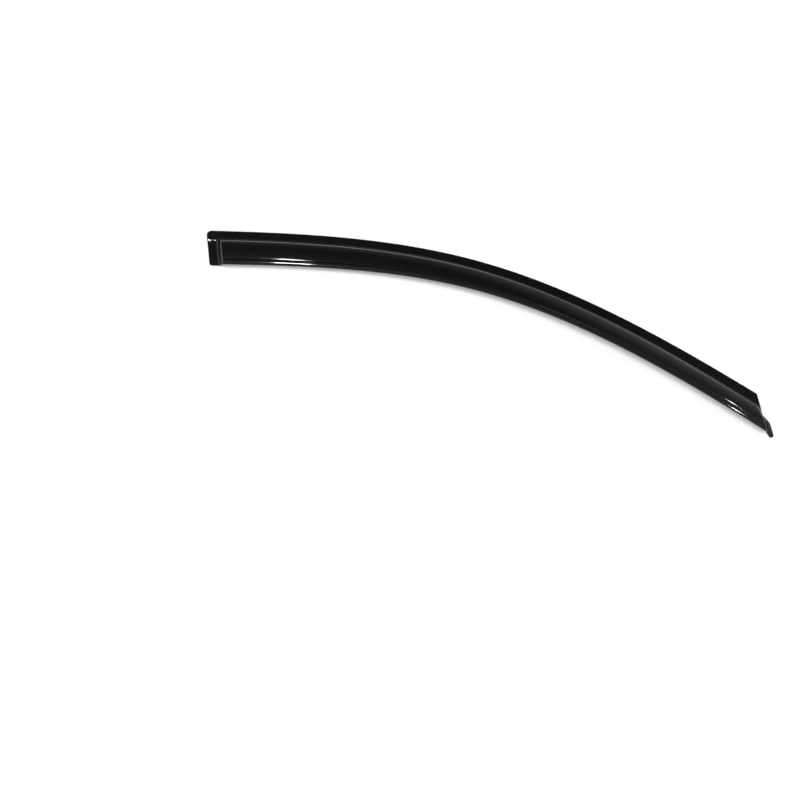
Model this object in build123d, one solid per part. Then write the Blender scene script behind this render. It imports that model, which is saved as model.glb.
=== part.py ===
"""Window rain deflector for a front side door, lying on its flange with the smooth face up.

One shell of smoke acrylic: a flange for the door frame, a shoulder that lifts off it, a crowned hood
and a lip that turns down along the free lower edge. Both ends close down on to flat tabs.
X runs from the rear end to the front tip, Y from the lower edge up to the door frame, Z out of the car.
"""
import math
import os

from build123d import *

# Driving dimensions, in millimetres and degrees
edge_span = 1013.8          # flange edge, straight from its rear end to its front end
edge_rise = 96.0            # highest point of the flange edge above that straight line
edge_peak = 477.0           # where that highest point lies, from the rear end
rear_ease = 0.76            # slope of the flange edge at the rear end, as a share of a parabola's
front_ease = 0.85           # slope of the flange edge at the front end, as a share of a parabola's
end_slant = 63.5            # both cut ends to the straight line
wall = 3.0                  # thickness of the acrylic
rim_bulge = 0.7             # rounding of the polished long edges
flange_width = 16.5         # flange edge to the foot of the shoulder
shoulder_slope = 60.0       # rise of the shoulder off the flange
shoulder_height = 12.5      # top of the shoulder above the flange's back
foot_radius = 5.0           # bend between flange and shoulder, outer face
crest_radius = 14.0         # bend between shoulder and hood, outer face
crown = 2.4                 # how far the hood bulges out of straight
lip_width = 8.5             # band along the lower edge, below the step
lip_slope = 16.0            # fall of that band towards the lower edge
lip_step = 1.2              # step down from the hood to that band
lip_step_run = 2.0          # plan depth of that step
lip_radius = 3.0            # bend between hood and step, outer face
lip_foot_radius = 4.0       # bend between step and lip band, outer face
width_rear = 70.0           # flange edge to lower edge in plan, at the rear end
width_front = 57.8          # flange edge to lower edge in plan, at the front end
edge_height_rear = 12.0     # lower edge above the flange at the rear end
edge_height_peak = 26.0     # lower edge above the flange where it stands highest
edge_height_front = 20.5    # lower edge above the flange at the front end
peak_share = 0.76           # where the lower edge stands highest, as a share of the flange edge
flange_twist = 4.0          # tilt of the flange where the lower edge stands highest
joggle = 1.5                # step of both end tabs below the flange
rear_tab = 15.0             # flat tab behind the rear end wall
rear_wall_run = 12.0        # plan depth of the rear end wall
rear_draw = 3.0             # how far the rear tab stays back from the lower edge
front_tab = 11.6            # flat ear ahead of the front end wall
front_wall_run = 7.0        # plan depth of the front end wall
front_draw = 9.8            # how far the foot of the front wall stays back from the lower edge
flange_nose = 2.0           # how far the flange reaches ahead of the front end wall
ear_height = 30.0           # upper side of the ear above the foot of the front end wall, along the cut end
ear_rake = 7.5              # how far the upper side of the ear slants down to its tip
ear_drop = 1.0              # outer tip of the ear below that foot, along the cut end
heel_reach = 5.0            # heel of the ear ahead of that foot
heel_drop = 10.0            # heel of the ear below that foot, along the cut end
rear_top_radius = 6.5       # corner of the rear tab at the flange edge
rear_foot_radius = 5.0      # corner of the rear tab at the lower edge
nose_radius = 4.0           # front corner of the flange
ear_radius = 6.0            # upper outer corner of the ear
ear_tip_radius = 3.0        # lower outer corner of the ear, and its heel
notch_radius = 3.0          # inner corner between flange and ear

# How many cross sections shape the end walls, the run-out from them, and the hood between
wall_steps = 6
runout_steps = 8
runout_growth = 1.6
hood_steps = 9

end_direction = Vector(math.cos(math.radians(end_slant)), -math.sin(math.radians(end_slant)))
flange_edge = Spline(
    (0, 0),
    (edge_peak, edge_rise),
    (edge_span, 0),
    tangents=[
        Vector(edge_peak, rear_ease * 2 * edge_rise).normalized(),
        Vector(edge_span - edge_peak, -front_ease * 2 * edge_rise).normalized(),
    ],
)


def stretch_at(share):
    """How much longer a width is along the cut ends than square to the flange edge."""
    return 1 / abs(flange_edge.tangent_at(share).cross(end_direction).Z)


rear_stretch = stretch_at(0)
front_stretch = stretch_at(1)
rear_foot = rear_tab * rear_stretch
front_foot = flange_edge.length - front_tab * front_stretch


def climb(distance, run):
    """Share of the full height at a distance up a rise of this run, along a soft S."""
    return (1 - math.cos(min(max(distance / run, 0), 1) * math.pi)) / 2


def swell(share, rear, peak, front):
    """Value that grows from the rear end to the peak and falls away to the front end."""
    if share < peak_share:
        return rear + (peak - rear) * climb(share, peak_share)
    return front + (peak - front) * math.cos((share - peak_share) / (1 - peak_share) * math.pi / 2)


def wall_inset(height, run):
    """How far the inner face of an end wall lies behind the outer one, for a full wall on the slope."""
    slope = math.atan2(height * math.pi / 2, run)
    return wall * math.tan(slope / 2)


def toward(start, end, distance):
    """Point at a distance from one point on the way to another."""
    return start + (end - start).normalized() * distance


def mitred(corners, depth):
    """The same row of corners, moved inward so that every straight keeps its distance."""
    sides = [(b - a).normalized() for a, b in zip(corners, corners[1:])]
    normals = [Vector(side.Y, -side.X) for side in sides]
    moved = []
    for corner, before, after in zip(corners, normals[:1] + normals, normals + normals[-1:]):
        bisector = (before + after).normalized()
        moved.append(corner + bisector * (depth / bisector.dot(after)))
    return moved


def setback(before, corner, after, radius):
    """Distance from a corner at which a bend of this radius starts."""
    turn = (corner - before).get_angle(after - corner)
    return max(radius * math.tan(math.radians(turn) / 2), wall / 10)


def skin(corners, foot, crest, lip, lip_foot):
    """Points of one face of the section: flange, bend, shoulder, bend, crowned hood, step and lip."""
    edge, foot_corner, crest_corner, crown_corner, lip_corner, lip_foot_corner, rim = corners
    foot_back = setback(edge, foot_corner, crest_corner, foot)
    crest_back = setback(foot_corner, crest_corner, crown_corner, crest)
    lip_back = setback(crown_corner, lip_corner, lip_foot_corner, lip)
    lip_foot_back = setback(lip_corner, lip_foot_corner, rim, lip_foot)
    return [
        edge,
        toward(foot_corner, edge, foot_back),
        foot_corner,
        toward(foot_corner, crest_corner, foot_back),
        toward(crest_corner, foot_corner, crest_back),
        crest_corner,
        toward(crest_corner, crown_corner, crest_back),
        crown_corner,
        toward(lip_corner, crown_corner, lip_back),
        lip_corner,
        (lip_corner + lip_foot_corner) / 2,
        lip_foot_corner,
        toward(lip_foot_corner, rim, lip_foot_back),
        rim,
    ]


def corner_row(share, rear_lift, front_lift):
    """Corners of the outer face across the shell, from a flat tab (lift 0) to the full hood (lift 1)."""
    lift = min(rear_lift, front_lift)
    tilt = math.radians(swell(share, 0, flange_twist, 0))
    plan_width = width_rear + (width_front - width_rear) * share
    plan_width -= rear_draw * (1 - rear_lift) + front_draw * (1 - front_lift)
    edge_height = swell(share, edge_height_rear, edge_height_peak, edge_height_front)
    rim = Vector(
        plan_width * math.cos(tilt) + edge_height * math.sin(tilt),
        edge_height * math.cos(tilt) - plan_width * math.sin(tilt),
    )
    shoulder_run = (shoulder_height - wall) / math.tan(math.radians(shoulder_slope))
    crest = Vector(flange_width + shoulder_run, shoulder_height)
    lip_foot = rim + Vector(-lip_width, lip_width * math.tan(math.radians(lip_slope)))
    lip = lip_foot + Vector(-lip_step_run, lip_step)
    middle = (crest + lip) / 2 + Vector(0, 2 * crown)
    tab_level = wall - joggle
    lifted = [Vector(p.X, tab_level + (p.Y - tab_level) * lift) for p in (crest, middle, lip, lip_foot, rim)]
    return [Vector(0, wall), Vector(flange_width, wall)] + lifted


def station(distance):
    """Closed cross section in the plane of the cut ends, at a distance along the flange edge."""
    edge_share = distance / flange_edge.length
    stretch = stretch_at(edge_share)
    base = flange_edge.position_at(edge_share)
    share = (distance - rear_foot) / (front_foot - rear_foot)
    tilt = math.radians(swell(share, 0, flange_twist, 0))
    middle = (rear_foot + front_foot) / 2
    base_height = joggle * ((distance - middle) / (front_foot - middle)) ** 2

    def row(rear_inset, front_inset):
        rear_lift = climb((distance - rear_foot) / rear_stretch - rear_inset, rear_wall_run)
        front_lift = climb((front_foot - distance) / front_stretch - front_inset, front_wall_run)
        return corner_row(share, rear_lift, front_lift)

    def placed(point):
        across = point.X * math.cos(tilt) - point.Y * math.sin(tilt)
        height = point.X * math.sin(tilt) + point.Y * math.cos(tilt)
        return base + end_direction * (across * stretch) + Vector(0, 0, base_height + height)

    def face_edges(p):
        return [
            Line(p[0], p[1]),
            Bezier(p[1], p[2], p[3]),
            Line(p[3], p[4]),
            Bezier(p[4], p[5], p[6]),
            Bezier(p[6], p[7], p[8]),
            Bezier(p[8], p[9], p[10]),
            Bezier(p[10], p[11], p[12]),
            Line(p[12], p[13]),
        ]

    def rim_edge(start, end, inner_point):
        outward = (start - inner_point).normalized()
        return Bezier(start, (start + end) / 2 + outward * (2 * rim_bulge), end)

    outer_row = row(0, 0)
    behind = row(wall_inset(edge_height_rear, rear_wall_run), wall_inset(edge_height_front, front_wall_run))
    inner_row = mitred(behind, wall)
    outer_bends = (foot_radius, crest_radius, lip_radius, lip_foot_radius)
    inner_bends = (foot_radius + wall, crest_radius - wall, lip_radius - wall, lip_foot_radius + wall)
    outer = [placed(p) for p in skin(outer_row, *outer_bends)]
    inner = [placed(p) for p in skin(inner_row, *inner_bends)]
    lower_rim = rim_edge(outer[-1], inner[-1], outer[-2])
    upper_rim = rim_edge(outer[0], inner[0], outer[1])
    return Wire(face_edges(outer) + face_edges(inner) + [lower_rim, upper_rim])


def station_distances():
    """Places of the cross sections: close over the end walls, then growing apart along the hood."""
    rear = [rear_foot + rear_wall_run * rear_stretch * k / wall_steps for k in range(wall_steps + 1)]
    front = [front_foot - front_wall_run * front_stretch * k / wall_steps for k in range(wall_steps + 1)]
    for row in (rear, front):
        step = row[-1] - row[-2]
        for _ in range(runout_steps):
            step *= runout_growth
            row.append(row[-1] + step)
    gap = (front[-1] - rear[-1]) / hood_steps
    middle = [rear[-1] + gap * k for k in range(1, hood_steps)]
    return rear + middle + front[::-1]


def upright(outline):
    """Upright prism through the whole shell over a closed plan outline."""
    return extrude(make_face(outline), edge_height_peak * 2, both=True)


def corner_cutter(corner, side_a, side_b, radius):
    """What a router takes off to round a corner between two sides of the trimmed outline."""
    a = side_a.normalized()
    b = side_b.normalized()
    half = math.radians(a.get_angle(b)) / 2
    start = corner + a * (radius / math.tan(half))
    end = corner + b * (radius / math.tan(half))
    middle = corner + (a + b).normalized() * (radius / math.sin(half) - radius)
    outside = Polyline(end, end - a * radius, corner - (a + b) * radius, start - b * radius, start)
    return upright([ThreePointArc(start, middle, end), outside])


hood = Solid.make_loft([station(distance) for distance in station_distances()])

# Rear tab: the end section carried straight on to the cut end, with two routed corners
rear_share = rear_foot / flange_edge.length
rear_along = flange_edge.tangent_at(rear_share)
rear_corner = flange_edge.position_at(rear_share) - rear_along * rear_foot
rear_low_corner = rear_corner + end_direction * ((width_rear - rear_draw) * rear_stretch)
rear_end = Solid.extrude(Face(station(rear_foot)), -rear_along * rear_foot)
rear_end -= corner_cutter(rear_corner, rear_along, end_direction, rear_top_radius)
rear_end -= corner_cutter(rear_low_corner, rear_along, -end_direction, rear_foot_radius)

# Front ear: the end section carried on, trimmed to a short flange nose and a rounded ear below it
front_share = front_foot / flange_edge.length
front_along = flange_edge.tangent_at(front_share)
front_base = flange_edge.position_at(front_share)
ear_length = front_tab * front_stretch
nose_length = flange_nose * front_stretch
beyond = edge_height_peak


def ahead(along, across):
    """Plan point ahead of the foot of the front end wall, and across from the flange edge."""
    return front_base + front_along * along + end_direction * across


foot_end = (width_front - front_draw) * front_stretch
ear_start = foot_end - ear_height
rake_rate = ear_rake / (ear_length - nose_length)
nose_corner = ahead(nose_length, 0)
notch_corner = ahead(nose_length, ear_start)
ear_top = ahead(ear_length, ear_start + ear_rake)
ear_bottom = ahead(ear_length, foot_end + ear_drop)
heel = ahead(heel_reach * front_stretch, foot_end + heel_drop)
low_corner = ahead(0, foot_end + wall / 2)
front_end = Solid.extrude(Face(station(front_foot)), front_along * ear_length)
notch = make_face(
    Polyline(
        ahead(nose_length, -beyond),
        notch_corner,
        ahead(ear_length + beyond, ear_start + ear_rake + rake_rate * beyond),
        ahead(ear_length + beyond, -beyond),
        close=True,
    )
)
notch = fillet(notch.vertices().sort_by_distance(notch_corner)[0], notch_radius)
heel_outline = Polyline(
    ahead(0, ear_start + ear_rake),
    low_corner,
    heel,
    ear_bottom,
    ear_top,
    close=True,
)
front_end += extrude(make_face(heel_outline), wall)
front_end -= extrude(notch, beyond, both=True)
front_end -= corner_cutter(nose_corner, -front_along, end_direction, nose_radius)
front_end -= corner_cutter(ear_top, notch_corner - ear_top, end_direction, ear_radius)
front_end -= corner_cutter(ear_bottom, heel - ear_bottom, -end_direction, ear_tip_radius)
front_end -= corner_cutter(heel, low_corner - heel, ear_bottom - heel, ear_tip_radius)

shell = hood + rear_end + front_end

os.makedirs("parts", exist_ok=True)
box = shell.bounding_box()
centred = Pos(-box.center().X, -box.center().Y, -box.min.Z) * shell
export_step(centred, "parts/deflector_shell.step")
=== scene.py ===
import math

import bpy
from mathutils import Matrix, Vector
from mathutils.geometry import interpolate_bezier


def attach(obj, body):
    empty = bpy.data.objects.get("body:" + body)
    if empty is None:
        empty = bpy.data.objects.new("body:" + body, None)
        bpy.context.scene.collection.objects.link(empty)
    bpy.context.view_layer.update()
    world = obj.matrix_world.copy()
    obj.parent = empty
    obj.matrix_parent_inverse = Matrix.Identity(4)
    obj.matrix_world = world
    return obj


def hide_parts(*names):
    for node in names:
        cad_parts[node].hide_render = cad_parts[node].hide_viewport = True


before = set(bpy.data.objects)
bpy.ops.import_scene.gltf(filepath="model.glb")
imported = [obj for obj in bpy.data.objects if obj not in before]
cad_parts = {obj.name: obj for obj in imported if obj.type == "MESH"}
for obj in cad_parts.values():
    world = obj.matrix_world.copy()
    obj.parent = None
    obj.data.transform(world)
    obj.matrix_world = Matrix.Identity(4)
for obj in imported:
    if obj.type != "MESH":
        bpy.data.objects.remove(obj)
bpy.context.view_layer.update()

# The deflector shell: one sheet of dark smoke acrylic, heated, formed over a mould and routed to its outline.
# It starts here as a flat sheet of the same thickness, and each of its points is then laid on the mould:
# on the cross section at its place along the flange edge, or on one of the two flat end tabs.
wall = 0.003
rim_bulge = 0.0007
table_clearance = 0.00003
edge_rear = Vector((-0.52295, -0.01643, 0))
edge_rear_handle = edge_rear + Vector((0.16789, 0.05136, 0))
edge_peak_rear_handle = edge_rear + Vector((0.32227, 0.09228, 0))
edge_peak = edge_rear + Vector((0.477, 0.096, 0))
edge_peak_front_handle = edge_rear + Vector((0.65041, 0.10017, 0))
edge_front_handle = edge_rear + Vector((0.82424, 0.05763, 0))
edge_front = edge_rear + Vector((1.0138, 0, 0))
end_slant = math.radians(63.5)
end_direction = Vector((math.cos(end_slant), -math.sin(end_slant), 0))

edge_samples = 2000
rear_edge = (edge_rear, edge_rear_handle, edge_peak_rear_handle, edge_peak)
front_edge = (edge_peak, edge_peak_front_handle, edge_front_handle, edge_front)
edge_line = interpolate_bezier(*rear_edge, edge_samples)
edge_line += interpolate_bezier(*front_edge, edge_samples)[1:]
edge_lengths = [0.0]
for before, after in zip(edge_line, edge_line[1:]):
    edge_lengths.append(edge_lengths[-1] + (after - before).length)
edge_length = edge_lengths[-1]


def edge_at(distance):
    """Point of the flange edge at a distance from the rear end, and its direction there."""
    low, high = 0, len(edge_lengths) - 2
    while low < high:
        middle = (low + high + 1) // 2
        if edge_lengths[middle] <= distance:
            low = middle
        else:
            high = middle - 1
    along = (edge_line[low + 1] - edge_line[low]).normalized()
    return edge_line[low] + along * (distance - edge_lengths[low]), along


def stretch_at(distance):
    """How much longer a width is along the cut ends than square to the flange edge."""
    return 1 / edge_at(distance)[1].cross(end_direction).length


def climb(distance, run):
    """Share of the full height at a distance up a rise of this run, along a soft S."""
    return (1 - math.cos(min(max(distance / run, 0), 1) * math.pi)) / 2


peak_share = 0.76
drift_start = 0.3
drift_run = 0.45


def swell(share, rear, peak, front):
    """Value that grows from the rear end to the peak and falls away to the front end."""
    if share < peak_share:
        return rear + (peak - rear) * climb(share, peak_share)
    return front + (peak - front) * math.cos((share - peak_share) / (1 - peak_share) * math.pi / 2)


def drift(share, rear, front):
    """Value that passes from its rear to its front size over the middle of the length."""
    return rear + (front - rear) * climb(share - drift_start, drift_run)


rear_tab = 0.015
rear_wall_run = 0.012
rear_draw = 0.003
front_tab = 0.0116
front_wall_run = 0.0085
front_rim_run = 0.007
front_wall_ease = 0.55
front_draw = 0.0098
joggle = 0.0015
rear_stretch = stretch_at(0)
front_stretch = stretch_at(edge_length)
rear_foot = rear_tab * rear_stretch
front_foot = edge_length - front_tab * front_stretch

flange_width_rear = 0.0165
flange_width_front = 0.0177
flange_twist = math.radians(4)
shoulder_slope = math.radians(60)
shoulder_height_rear = 0.0125
shoulder_height_front = 0.0138
crown_rear = 0.0024
crown_front = 0.0015
lip_width = 0.007
lip_slope = math.radians(16)
lip_step_rear = 0.0013
lip_step_front = 0.0008
lip_step_run = 0.0018
lip_crown = 0.0004
width_rear = 0.07
width_front = 0.0578
edge_height_rear = 0.012
edge_height_peak = 0.026
edge_height_front = 0.0205
foot_radius = 0.005
crest_radius_rear = 0.019
crest_radius_front = 0.003
lip_radius = 0.002
lip_foot_radius = 0.002
least_bend = wall / 10


def corner_row(share, rear_lift, front_crest_lift, front_rim_lift):
    """Corners of the outer face, as width and height, from a flat tab (lift 0) to the full hood (lift 1)."""
    crest_lift = min(rear_lift, front_crest_lift)
    rim_lift = min(rear_lift, front_rim_lift)
    tilt = swell(share, 0, flange_twist, 0)
    flange_width = drift(share, flange_width_rear, flange_width_front)
    width = width_rear + (width_front - width_rear) * share
    width -= rear_draw * (1 - rear_lift) + front_draw * (1 - front_rim_lift)
    height = swell(share, edge_height_rear, edge_height_peak, edge_height_front)
    rim = Vector((
        width * math.cos(tilt) + height * math.sin(tilt),
        height * math.cos(tilt) - width * math.sin(tilt),
    ))
    shoulder_height = drift(share, shoulder_height_rear, shoulder_height_front)
    crest = Vector((flange_width + (shoulder_height - wall) / math.tan(shoulder_slope), shoulder_height))
    lip_foot = rim + Vector((-lip_width, lip_width * math.tan(lip_slope)))
    lip_step = drift(share, lip_step_rear, lip_step_front)
    lip = lip_foot + Vector((-lip_step_run, lip_step))
    crown = drift(share, crown_rear, crown_front)
    middle = (crest + lip) / 2 + Vector((0, 2 * crown))
    tab_level = wall - joggle
    corners = [Vector((0, wall)), Vector((flange_width, wall))]
    lifts = (crest_lift, (crest_lift + rim_lift) / 2, rim_lift, rim_lift, rim_lift)
    for corner, lift in zip((crest, middle, lip, lip_foot, rim), lifts):
        corners.append(Vector((corner.x, tab_level + (corner.y - tab_level) * lift)))
    return corners


def inner_row(corners):
    """The same corners one wall further in, so that every straight keeps its distance."""
    sides = [(b - a).normalized() for a, b in zip(corners, corners[1:])]
    normals = [Vector((side.y, -side.x)) for side in sides]
    moved = []
    for corner, before, after in zip(corners, normals[:1] + normals, normals + normals[-1:]):
        bisector = (before + after).normalized()
        moved.append(corner + bisector * (wall / bisector.dot(after)))
    return moved


def bend_start(corner, neighbour, other, radius):
    """Where a bend of this radius starts, on the way from a corner to its neighbour."""
    turn = (corner - neighbour).angle(other - corner, 0)
    reach = max(radius * math.tan(turn / 2), least_bend)
    return corner + (neighbour - corner).normalized() * reach


flange_steps, foot_steps, shoulder_steps, crest_steps = 12, 8, 4, 14
hood_steps, lip_bend_steps, lip_foot_steps, lip_steps = 30, 10, 8, 7


def skin(corners, foot_bend, crest_bend, lip_bend, lip_foot_bend):
    """Points across one face: flange, bend, shoulder, bend, crowned hood, step and lip band."""
    edge, foot, crest, middle, lip, lip_foot, rim = corners
    foot_back = bend_start(foot, edge, crest, foot_bend)
    foot_front = bend_start(foot, crest, edge, foot_bend)
    crest_back = bend_start(crest, foot, middle, crest_bend)
    crest_front = bend_start(crest, middle, foot, crest_bend)
    lip_back = bend_start(lip, middle, lip_foot, lip_bend)
    step_middle = (lip + lip_foot) / 2
    lip_front = bend_start(lip_foot, rim, lip, lip_foot_bend)
    stretches = (
        (edge, (edge + foot_back) / 2, foot_back, flange_steps),
        (foot_back, foot, foot_front, foot_steps),
        (foot_front, (foot_front + crest_back) / 2, crest_back, shoulder_steps),
        (crest_back, crest, crest_front, crest_steps),
        (crest_front, middle, lip_back, hood_steps),
        (lip_back, lip, step_middle, lip_bend_steps),
        (step_middle, lip_foot, lip_front, lip_foot_steps),
        (lip_front, (lip_front + rim) / 2 + Vector((0, lip_crown)), rim, lip_steps),
    )
    points = [edge]
    for start, control, end, steps in stretches:
        for step in range(1, steps + 1):
            t = step / steps
            points.append(start * (1 - t) ** 2 + control * (2 * t * (1 - t)) + end * t ** 2)
    return points


def wall_inset(height, run):
    """How far the inner face of an end wall lies behind the outer one, for a full wall on the slope."""
    return wall * math.tan(math.atan2(height * math.pi / 2, run) / 2)


rear_inset = wall_inset(edge_height_rear, rear_wall_run)
front_inset = wall_inset(edge_height_front, front_wall_run)


def cross_section(distance):
    """Outer and inner points across the shell, in the plane of the cut ends, at a distance along the edge."""
    share = (distance - rear_foot) / (front_foot - rear_foot)
    tilt = swell(share, 0, flange_twist, 0)
    base, _ = edge_at(distance)
    stretch = stretch_at(distance)
    middle = (rear_foot + front_foot) / 2
    base_height = table_clearance + joggle * ((distance - middle) / (front_foot - middle)) ** 2

    def row(behind_rear, behind_front):
        rear_lift = climb((distance - rear_foot) / rear_stretch - behind_rear, rear_wall_run)
        from_front = (front_foot - distance) / front_stretch - behind_front
        crest_lift = climb(from_front, front_wall_run) ** front_wall_ease
        rim_lift = climb(from_front, front_rim_run) ** front_wall_ease
        return corner_row(share, rear_lift, crest_lift, rim_lift)

    def placed(point):
        across = point.x * math.cos(tilt) - point.y * math.sin(tilt)
        height = point.x * math.sin(tilt) + point.y * math.cos(tilt)
        return base + end_direction * (across * stretch) + Vector((0, 0, base_height + height))

    crest_radius = drift(share, crest_radius_rear, crest_radius_front)
    outer = skin(row(0, 0), foot_radius, crest_radius, lip_radius, lip_foot_radius)
    inner = skin(
        inner_row(row(rear_inset, front_inset)),
        foot_radius + wall,
        crest_radius - wall,
        lip_radius - wall,
        lip_foot_radius + wall,
    )
    faces = [placed(p) for p in outer], [placed(p) for p in inner]
    for face in faces:
        face[0] += (face[0] - face[1]).normalized() * rim_bulge
        face[-1] += (face[-1] - face[-2]).normalized() * rim_bulge
    return faces


def rounded_outline(corners, steps):
    """Points along a row of (corner, radius), with a routed round at each corner between the two ends."""
    line = [corners[0][0]]
    for (before, _), (corner, radius), (after, _) in zip(corners, corners[1:], corners[2:]):
        back, forth = (before - corner).normalized(), (after - corner).normalized()
        half = back.angle(forth) / 2
        centre = corner + (back + forth).normalized() * (radius / math.sin(half))
        start = corner + back * (radius / math.tan(half)) - centre
        end = corner + forth * (radius / math.tan(half)) - centre
        for step in range(steps + 1):
            line.append(centre + start.lerp(end, step / steps).normalized() * radius)
    return line + [corners[-1][0]]


def spread(line, count):
    """That many points at even distances along a line of points."""
    lengths = [0.0]
    for before, after in zip(line, line[1:]):
        lengths.append(lengths[-1] + (after - before).length)
    points, piece = [], 0
    for index in range(count):
        distance = lengths[-1] * index / (count - 1)
        while piece < len(lengths) - 2 and lengths[piece + 1] < distance:
            piece += 1
        share = (distance - lengths[piece]) / (lengths[piece + 1] - lengths[piece])
        points.append(line[piece].lerp(line[piece + 1], share))
    return points


wall_steps, hood_length_steps, tab_steps = 24, 180, 8
rear_rise = rear_foot + (rear_wall_run + rear_inset) * rear_stretch
front_rise = front_foot - (front_wall_run + front_inset) * front_stretch
places = [rear_foot + (rear_rise - rear_foot) * k / wall_steps for k in range(wall_steps)]
places += [rear_rise + (front_rise - rear_rise) * k / hood_length_steps for k in range(hood_length_steps)]
places += [front_rise + (front_foot - front_rise) * k / wall_steps for k in range(wall_steps + 1)]
sections = [cross_section(distance) for distance in places]

tab_corner_steps = 8
flat_rows = flange_steps
step_rows = flange_steps + foot_steps + shoulder_steps + crest_steps
fall_rows = 12


def tab_rows(ring, flange_corner, corners, along, fall):
    """Rows of points from an end section out to its routed outline, falling away below the flange by fall."""
    base = ring[0].xy.to_3d()
    flange_start, flange_radius = flange_corner
    end_line = [flange_start + end_direction * (point.xy.to_3d() - base).dot(end_direction) for point in ring]
    flange_side = rounded_outline(
        [(flange_start - along, 0), (flange_start, flange_radius), (end_line[flat_rows], 0)],
        tab_corner_steps,
    )
    low_side = rounded_outline([(end_line[step_rows], 0)] + corners, tab_corner_steps)
    outline = spread(flange_side[1:], flat_rows + 1) + end_line[flat_rows + 1:step_rows]
    outline += spread(low_side[:-1], len(ring) - step_rows)
    falls = [fall * climb(index - step_rows, fall_rows) for index in range(len(ring))]
    rows = []
    for step in range(1, tab_steps + 1):
        share = step / tab_steps
        row = [point.lerp(end, share) for point, end in zip(ring, outline)]
        for place, point, drop in zip(row, ring, falls):
            place.z = point.z - drop * share ** 2
        rows.append(row)
    return rows


rear_top_radius = 0.008
rear_foot_radius = 0.005
_, rear_along = edge_at(rear_foot)
rear_rows = []
for ring in sections[0]:
    rear_corner = (ring[0] - rear_along * rear_foot).xy.to_3d()
    rear_low_corner = (ring[-1] - rear_along * rear_foot).xy.to_3d()
    corners = [(rear_low_corner, rear_foot_radius), (ring[-1].xy.to_3d(), 0)]
    rear_rows.append(tab_rows(ring, (rear_corner, rear_top_radius), corners, -rear_along, 0)[::-1])

flange_nose = 0.002
ear_height = 0.03
ear_rake = 0.0075
ear_drop = 0.001
ear_fall = 0.0012
heel_reach = 0.005
heel_drop = 0.01
nose_radius = 0.006
notch_radius = 0.003
ear_radius = 0.012
ear_tip_radius = 0.003
front_base, front_along = edge_at(front_foot)
ear_length = front_tab * front_stretch
nose_length = flange_nose * front_stretch
foot_end = (width_front - front_draw) * front_stretch
ear_start = foot_end - ear_height


def ahead(along, across):
    """Plan point ahead of the foot of the front end wall, and across from the flange edge."""
    return front_base + front_along * along + end_direction * across


front_rows = []
for ring, fall in zip(sections[-1], (ear_fall, 0)):
    nose_corner = (ring[0] + front_along * nose_length).xy.to_3d()
    corners = [
        (ahead(nose_length, ear_start), notch_radius),
        (ahead(ear_length, ear_start + ear_rake), ear_radius),
        (ahead(ear_length, foot_end + ear_drop), ear_tip_radius),
        (ahead(heel_reach * front_stretch, foot_end + heel_drop), ear_tip_radius),
        (ahead(0, foot_end + wall / 2), 0),
    ]
    front_rows.append(tab_rows(ring, (nose_corner, nose_radius), corners, front_along, fall))

outer_face = rear_rows[0] + [outer for outer, _ in sections] + front_rows[0]
inner_face = rear_rows[1] + [inner for _, inner in sections] + front_rows[1]
columns, rows = len(outer_face), len(outer_face[0])

smoke_acrylic = bpy.data.materials.new("smoke_acrylic")
bpy.ops.object.select_all(action="DESELECT")
bpy.ops.mesh.primitive_grid_add(x_subdivisions=columns - 1, y_subdivisions=rows - 1, size=2)
shell = bpy.context.active_object
shell.name = "formed_shell"
shell.data.materials.append(smoke_acrylic)
shell.data.materials.append(smoke_acrylic)
sheet = shell.modifiers.new("sheet", "SOLIDIFY")
sheet.thickness = wall
sheet.offset = -1
sheet.material_offset_rim = 1
bpy.ops.object.modifier_apply(modifier=sheet.name)
for vertex in shell.data.vertices:
    column = round((vertex.co.x + 1) / 2 * (columns - 1))
    row = round((1 - vertex.co.y) / 2 * (rows - 1))
    face = outer_face if vertex.co.z > -wall / 2 else inner_face
    vertex.co = face[column][row]

edge_bevel = 0.0009
edge_bevel_steps = 3
sharp_edge = math.radians(50)
polish = shell.modifiers.new("polished_edges", "BEVEL")
polish.limit_method = "ANGLE"
polish.angle_limit = sharp_edge
polish.width = edge_bevel
polish.segments = edge_bevel_steps
polish.material = 1
polish.use_clamp_overlap = False
bpy.ops.object.modifier_apply(modifier=polish.name)
bpy.ops.object.shade_smooth()
even = shell.modifiers.new("even_gloss", "WEIGHTED_NORMAL")
bpy.ops.object.modifier_apply(modifier=even.name)
cut_edge = shell.data.attributes.new("cut_edge", "FLOAT", "FACE")
for polygon in shell.data.polygons:
    cut_edge.data[polygon.index].value = polygon.material_index
    polygon.material_index = 0
shell.data.materials.pop(index=1)

# Its finish: nearly black smoke tint under a clear gloss that forming left a little wavy, with faint
# polishing scratches along its length, some dust, and duller lines where the router cut the edges.
# The functions here build in the node tree that nodes and links name at the time.
acrylic_ior = 1.49
dark_smoke = (0.0024, 0.0020, 0.0018)
pale_smoke = (0.0032, 0.0028, 0.0026)
dust_grey = (0.12, 0.115, 0.11, 1)
polished_roughness = 0.03
handled_roughness = 0.065
scratch_roughness = 0.06
dust_roughness = 0.5
router_roughness = 0.16
wave_depth = 0.00008
grain_depth = 0.0000012
router_line_depth = 0.00003
smoke_acrylic.use_nodes = True
nodes = smoke_acrylic.node_tree.nodes
links = smoke_acrylic.node_tree.links
gloss = nodes["Principled BSDF"]
gloss.inputs["IOR"].default_value = acrylic_ior
coordinates = nodes.new("ShaderNodeTexCoord")


def feed(socket, value):
    """Links a socket to another one, or sets it to a constant."""
    if isinstance(value, bpy.types.NodeSocket):
        links.new(value, socket)
    else:
        socket.default_value = value


def grey(level):
    """Colour with the same level in its three channels."""
    return level, level, level


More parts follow.
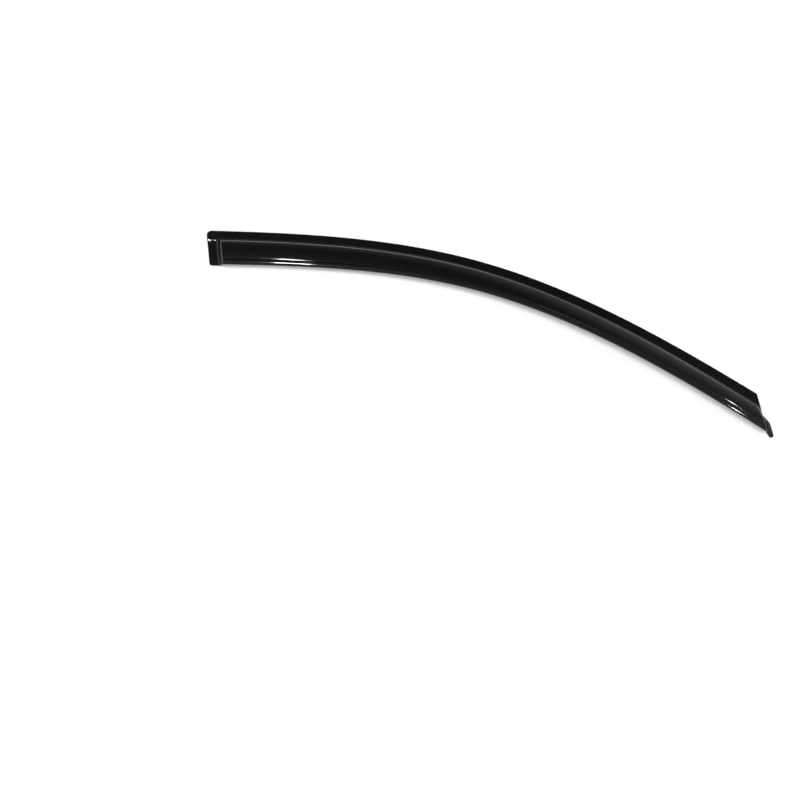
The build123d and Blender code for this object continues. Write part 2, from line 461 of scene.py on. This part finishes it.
def noise(scale, detail, stretch=(1, 1, 1)):
    """Noise over the object, with its scale in features a metre, finer along the axes that are stretched."""
    mapping = nodes.new("ShaderNodeMapping")
    mapping.inputs["Scale"].default_value = stretch
    links.new(coordinates.outputs["Object"], mapping.inputs["Vector"])
    texture = nodes.new("ShaderNodeTexNoise")
    texture.inputs["Scale"].default_value = scale
    texture.inputs["Detail"].default_value = detail
    links.new(mapping.outputs["Vector"], texture.inputs["Vector"])
    return texture.outputs["Fac"]


def ramp(source, *stops):
    """Colour or level by the source's value, from stops of (value, colour)."""
    node = nodes.new("ShaderNodeValToRGB")
    while len(node.color_ramp.elements) < len(stops):
        node.color_ramp.elements.new(0.5)
    for element, (position, colour) in zip(node.color_ramp.elements, stops):
        element.position = position
        element.color = (*colour, 1)
    links.new(source, node.inputs["Fac"])
    return node.outputs["Color"]


def math_node(operation, first, second):
    """The two inputs, each a socket or a number, put together by a sum or product."""
    node = nodes.new("ShaderNodeMath")
    node.operation = operation
    feed(node.inputs[0], first)
    feed(node.inputs[1], second)
    return node.outputs[0]


def colour_mix(blend_type, factor, first, second):
    """The second colour blended over the first one, each of the three inputs a socket or a constant."""
    node = nodes.new("ShaderNodeMix")
    node.data_type = "RGBA"
    node.blend_type = blend_type
    feed(node.inputs["Factor"], factor)
    feed(node.inputs[6], first)
    feed(node.inputs[7], second)
    return node.outputs[2]


def bump(height, distance, below=None):
    """Bump of a height map, with its full depth in metres, on top of another one."""
    node = nodes.new("ShaderNodeBump")
    node.inputs["Strength"].default_value = 1
    node.inputs["Distance"].default_value = distance
    links.new(height, node.inputs["Height"])
    if below:
        links.new(below, node.inputs["Normal"])
    return node.outputs["Normal"]


tint = ramp(noise(18, 3), (0.3, dark_smoke), (0.7, pale_smoke))
scratches = ramp(noise(9, 2, (1, 90, 90)), (0.66, grey(0)), (0.7, grey(1)))
cells = nodes.new("ShaderNodeTexVoronoi")
cells.inputs["Scale"].default_value = 95
links.new(coordinates.outputs["Object"], cells.inputs["Vector"])
specks = ramp(cells.outputs["Distance"], (0.02, grey(1)), (0.045, grey(0)))
some = ramp(cells.outputs["Color"], (0.62, grey(0)), (0.66, grey(1)))
dust = math_node("MULTIPLY", specks, some)
links.new(colour_mix("MIX", dust, tint, dust_grey), gloss.inputs["Base Color"])

router = nodes.new("ShaderNodeAttribute")
router.attribute_name = "cut_edge"
dullness = ramp(noise(45, 4), (0.3, grey(polished_roughness)), (0.75, grey(handled_roughness)))
dullness = math_node("ADD", dullness, math_node("MULTIPLY", scratches, scratch_roughness))
dullness = math_node("ADD", dullness, math_node("MULTIPLY", dust, dust_roughness))
dullness = math_node("ADD", dullness, math_node("MULTIPLY", router.outputs["Fac"], router_roughness))
links.new(dullness, gloss.inputs["Roughness"])

waves = bump(noise(22, 1), wave_depth)
grain = bump(noise(420, 2), grain_depth, waves)
router_lines = math_node("MULTIPLY", noise(150, 2, (1, 1, 12)), router.outputs["Fac"])
links.new(bump(router_lines, router_line_depth, grain), gloss.inputs["Normal"])
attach(shell, "root")
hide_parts("deflector_shell")

# The table: a plain white sheet that the deflector lies on. It looks white to the camera and in the gloss,
# and still takes the deflector's shadow.
table_size = 60
sheet_white = (0.94, 0.94, 0.94, 1)
whitening = 0.12
bpy.ops.object.select_all(action="DESELECT")
bpy.ops.mesh.primitive_plane_add(size=table_size, location=(0, 0, 0))
table = bpy.context.active_object
table.name = "white_table"
white_sheet = bpy.data.materials.new("white_sheet")
white_sheet.use_nodes = True
nodes = white_sheet.node_tree.nodes
links = white_sheet.node_tree.links
paper = nodes["Principled BSDF"]
paper.inputs["Base Color"].default_value = sheet_white
paper.inputs["Roughness"].default_value = 0.9
paper.inputs["Specular IOR Level"].default_value = 0.1
ray = nodes.new("ShaderNodeLightPath")
seen = math_node("ADD", ray.outputs["Is Camera Ray"], ray.outputs["Is Glossy Ray"])
seen = math_node("ADD", seen, ray.outputs["Is Transmission Ray"])
white = nodes.new("ShaderNodeEmission")
white.inputs["Color"].default_value = (1, 1, 1, 1)
white.inputs["Strength"].default_value = 1
blend = nodes.new("ShaderNodeMixShader")
links.new(math_node("MULTIPLY", seen, whitening), blend.inputs["Fac"])
links.new(paper.outputs["BSDF"], blend.inputs[1])
links.new(white.outputs["Emission"], blend.inputs[2])
links.new(blend.outputs["Shader"], nodes["Material Output"].inputs["Surface"])
table.data.materials.append(white_sheet)

# The room: dim overhead, a little behind the deflector, and paler down to white towards the walls.
# A bright window on the right shows in the front ear and down the front end wall.
darkest = (-0.09, 0.612, 0.786)
ceiling_levels = (
    (0.34, 1.0), (0.5, 0.8), (0.67, 0.47), (0.8, 0.33), (0.9, 0.2), (0.956, 0.125), (0.985, 0.09),
)
warmth = Vector((1.02, 1.0, 0.97))
upwards = (0, 0, 1)
wall_top = 0.05
window_middle = (0.66, 0.5, 0.56)
window_rim = 0.925
window_pane = 0.95
window_level = 1.2
room = bpy.data.worlds.new("room")
bpy.context.scene.world = room
room.use_nodes = True
nodes = room.node_tree.nodes
links = room.node_tree.links
sky = nodes["Background"]
sky.inputs["Strength"].default_value = 1.0
direction = nodes.new("ShaderNodeTexCoord")


def towards(axis):
    """How nearly a direction in the room points along an axis, from -1 to 1."""
    node = nodes.new("ShaderNodeVectorMath")
    node.operation = "DOT_PRODUCT"
    node.inputs[1].default_value = axis
    links.new(direction.outputs["Generated"], node.inputs[0])
    return node.outputs["Value"]


ceiling = ramp(towards(darkest), *((position, warmth * level) for position, level in ceiling_levels))
walls = ramp(towards(upwards), (0, grey(1)), (wall_top, grey(0)))
window = ramp(towards(window_middle), (window_rim, grey(0)), (window_pane, grey(window_level)))
room_light = colour_mix("LIGHTEN", 1, colour_mix("LIGHTEN", 1, ceiling, walls), window)
links.new(room_light, sky.inputs["Color"])

# Two soft lamps, one well to the left and one almost straight overhead, both a little to the near side.
# They light the table and stay out of the gloss.
lamp_energy = 0.95
lamp_angle = math.radians(28)
lamp_reach = 0.15
for name, lean in (("left_lamp", 0.5), ("right_lamp", 0.02)):
    lamp = bpy.data.lights.new(name, "SUN")
    lamp.energy = lamp_energy
    lamp.angle = lamp_angle
    holder = bpy.data.objects.new(name, lamp)
    bpy.context.scene.collection.objects.link(holder)
    aim = Vector((lean, lamp_reach, -1))
    holder.rotation_euler = aim.to_track_quat("-Z", "Y").to_euler()
    holder.visible_glossy = False

# Small bare bulbs further off, which the lip and the step of the rear tab mirror as short glints, and a
# large one low on the right for the light line down the front end wall. They light nothing else.
for name, bulb_place, length, depth, power in (
    ("rear_low_bulb", (-0.615, -0.2, 2.0), 0.085, 0.035, 2.4),
    ("rear_high_bulb", (-0.725, 0.22, 2.0), 0.085, 0.06, 0.8),
    ("tab_bulb", (-0.885, -0.22, 2.0), 0.012, 0.03, 0.2),
    ("tip_low_bulb", (0.695, -0.2, 2.0), 0.027, 0.035, 0.85),
    ("tip_high_bulb", (1.452, 2.155, 2.0), 0.014, 0.17, 1.35),
    ("side_bulb", (2.6, 0.8, 0.75), 0.8, 0.8, 15.0),
):
    lamp = bpy.data.lights.new(name, "AREA")
    lamp.shape = "RECTANGLE"
    lamp.size = length
    lamp.size_y = depth
    lamp.energy = power
    holder = bpy.data.objects.new(name, lamp)
    bpy.context.scene.collection.objects.link(holder)
    holder.location = bulb_place
    holder.visible_diffuse = False

# A dark card: a sheet of black felt that lies flat in the air beside the camera. Only the gloss shows it, as
# the dark crease above the lip.
card_middle = Vector((-0.43, -1.18, 1.6))
card_length = 0.66
card_depth = 1.24
felt_black = (0.02, 0.02, 0.02, 1)
bpy.ops.object.select_all(action="DESELECT")
bpy.ops.mesh.primitive_plane_add(size=1, location=(0, 0, 0))
card = bpy.context.active_object
card.name = "dark_card"
for vertex in card.data.vertices:
    vertex.co = card_middle + Vector((vertex.co.x * card_length, vertex.co.y * card_depth, 0))
dark_felt = bpy.data.materials.new("dark_felt")
dark_felt.use_nodes = True
felt = dark_felt.node_tree.nodes["Principled BSDF"]
felt.inputs["Base Color"].default_value = felt_black
felt.inputs["Roughness"].default_value = 1
card.data.materials.append(dark_felt)
card.visible_camera = False
card.visible_shadow = False
card.visible_diffuse = False

# The camera: above the near side of the table, a little to the right of the deflector's middle. It is aimed
# at the table in front of the deflector, which so stands high and to the right in the picture.
camera_place = Vector((0.08584, -0.74744, 1.595))
camera_target = Vector((-0.09197, -0.21136, 0))
camera = bpy.data.cameras.new("camera")
camera.lens = 45
camera.sensor_width = 36
viewpoint = bpy.data.objects.new("camera", camera)
bpy.context.scene.collection.objects.link(viewpoint)
viewpoint.location = camera_place
viewpoint.rotation_euler = (camera_target - camera_place).to_track_quat("-Z", "Y").to_euler()
bpy.context.scene.camera = viewpoint
bpy.context.scene.view_settings.view_transform = "Standard"
